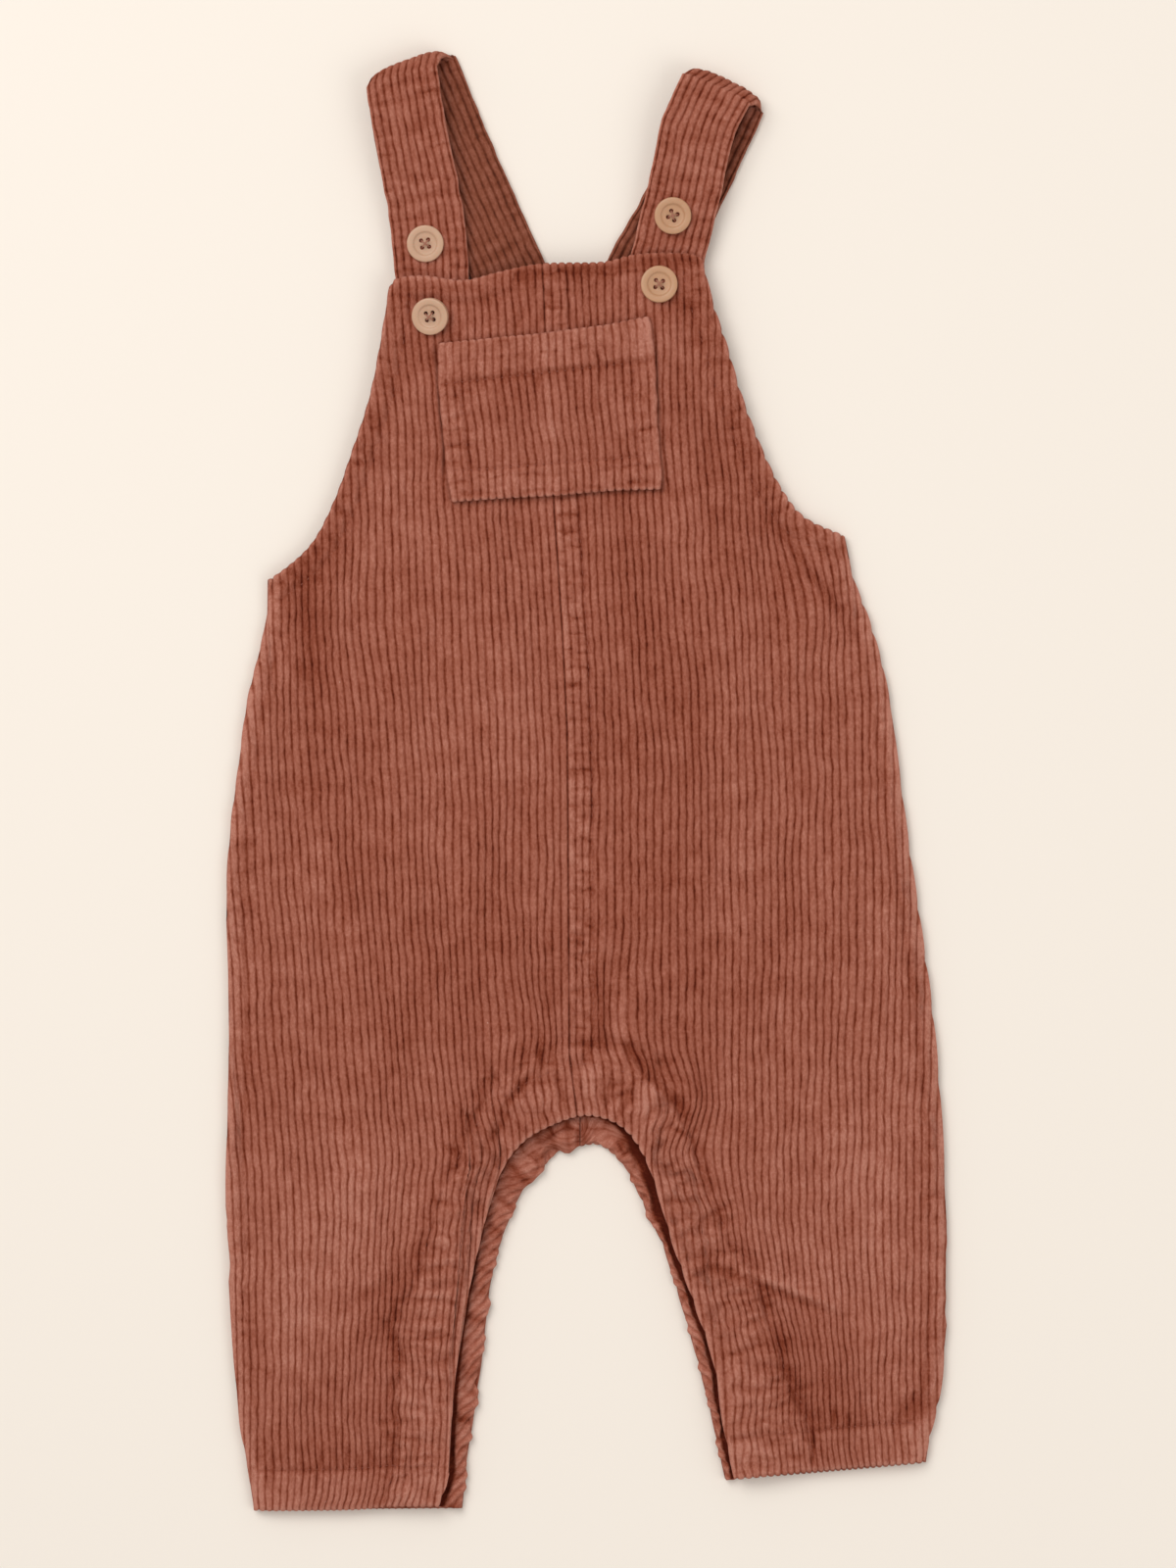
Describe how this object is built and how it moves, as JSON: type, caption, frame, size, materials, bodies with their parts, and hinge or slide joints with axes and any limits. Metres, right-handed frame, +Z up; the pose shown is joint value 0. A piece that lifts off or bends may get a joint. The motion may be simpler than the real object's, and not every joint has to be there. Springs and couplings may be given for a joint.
{
  "type": "bib overalls",
  "caption": "Baby's bib overalls in rust-brown corduroy, laid flat, with shoulder straps buttoned to the bib, a bib pocket and faced edges inside the legs.",
  "frame": {"origin": "bottom centre of the overall box, on the surface that the back lies on", "axes": "+Y from the hems to the shoulder straps, +Z up through the thickness, +X to the right of the garment as seen from above"},
  "size_m": [0.2949, 0.597, 0.0141],
  "materials": {
    "corduroy_front": "matte brushed pile",
    "corduroy_back": "matte brushed pile",
    "corduroy_facing": "matte brushed pile, cut on the bias",
    "corduroy_strap": "matte brushed pile",
    "button_resin": "satin"
  },
  "bodies": {
    "root": {"front_left": "corduroy_front", "front_right": "corduroy_front", "back_left": "corduroy_back", "back_right": "corduroy_back", "pocket": "corduroy_front", "placket_left": "corduroy_facing", "placket_right": "corduroy_facing", "strap_left": "corduroy_strap", "strap_right": "corduroy_strap", "button_strap_left": "button_resin", "button_strap_right": "button_resin", "button_bib_left": "button_resin", "button_bib_right": "button_resin"}
  },
  "joints": []
}
